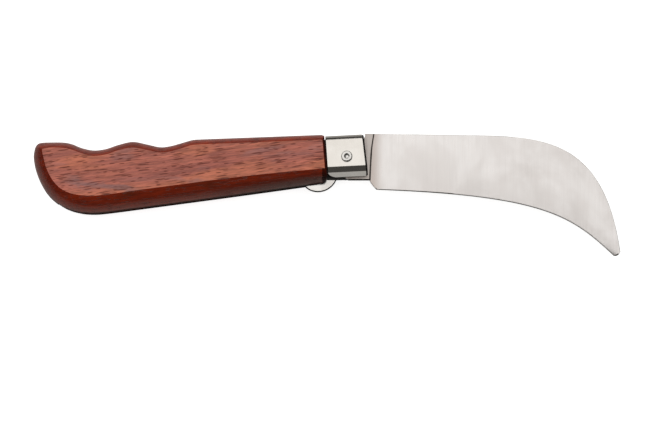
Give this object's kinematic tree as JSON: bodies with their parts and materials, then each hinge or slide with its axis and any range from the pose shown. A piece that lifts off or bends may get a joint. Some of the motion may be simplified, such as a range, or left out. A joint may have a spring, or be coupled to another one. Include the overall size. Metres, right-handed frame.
{
  "type": "folding hawkbill pruning knife",
  "caption": "Folding hawkbill pruning knife with a hardwood grip, a folded steel bolster, a riveted pivot and a thumb-released liner lock.",
  "frame": {"origin": "middle of the underside of the open knife lying on its far side", "axes": "+X along the knife from butt to blade tip, +Y towards the back of the knife, +Z across its thickness, up from the surface that it lies on"},
  "size_m": [0.2016, 0.0424, 0.017],
  "materials": {
    "hardwood": "oiled reddish tropical hardwood with dark pore streaks",
    "polished_steel": "polished stainless sheet",
    "satin_steel": "satin, brushed across the blade",
    "rivet_steel": "polished steel, set by a riveting punch",
    "liner_steel": "fine-ground spring steel"
  },
  "bodies": {
    "grip": {"handle": "hardwood", "bolster": "polished_steel", "pivot_rivet": "rivet_steel", "lock_plate": "liner_steel"},
    "blade": {"blade": "satin_steel"},
    "lock_arm": {"lock_arm": "liner_steel"}
  },
  "joints": [
    {"name": "blade_pivot", "type": "hinge", "parent": "grip", "child": "blade", "pos_m": [0.00679, 0.01218, 0.0085], "axis": [0, 0, 1], "range_deg": [-153, 0], "deforming": ["lock_arm"]},
    {"name": "lock_release", "type": "hinge", "parent": "grip", "child": "lock_arm", "pos_m": [-0.02021, 0.00719, 0.00965], "axis": [0, 1, 0], "range_deg": [-2.5, 0], "stiffness_Nm_per_rad": 1, "springref_deg": 1.72}
  ]
}
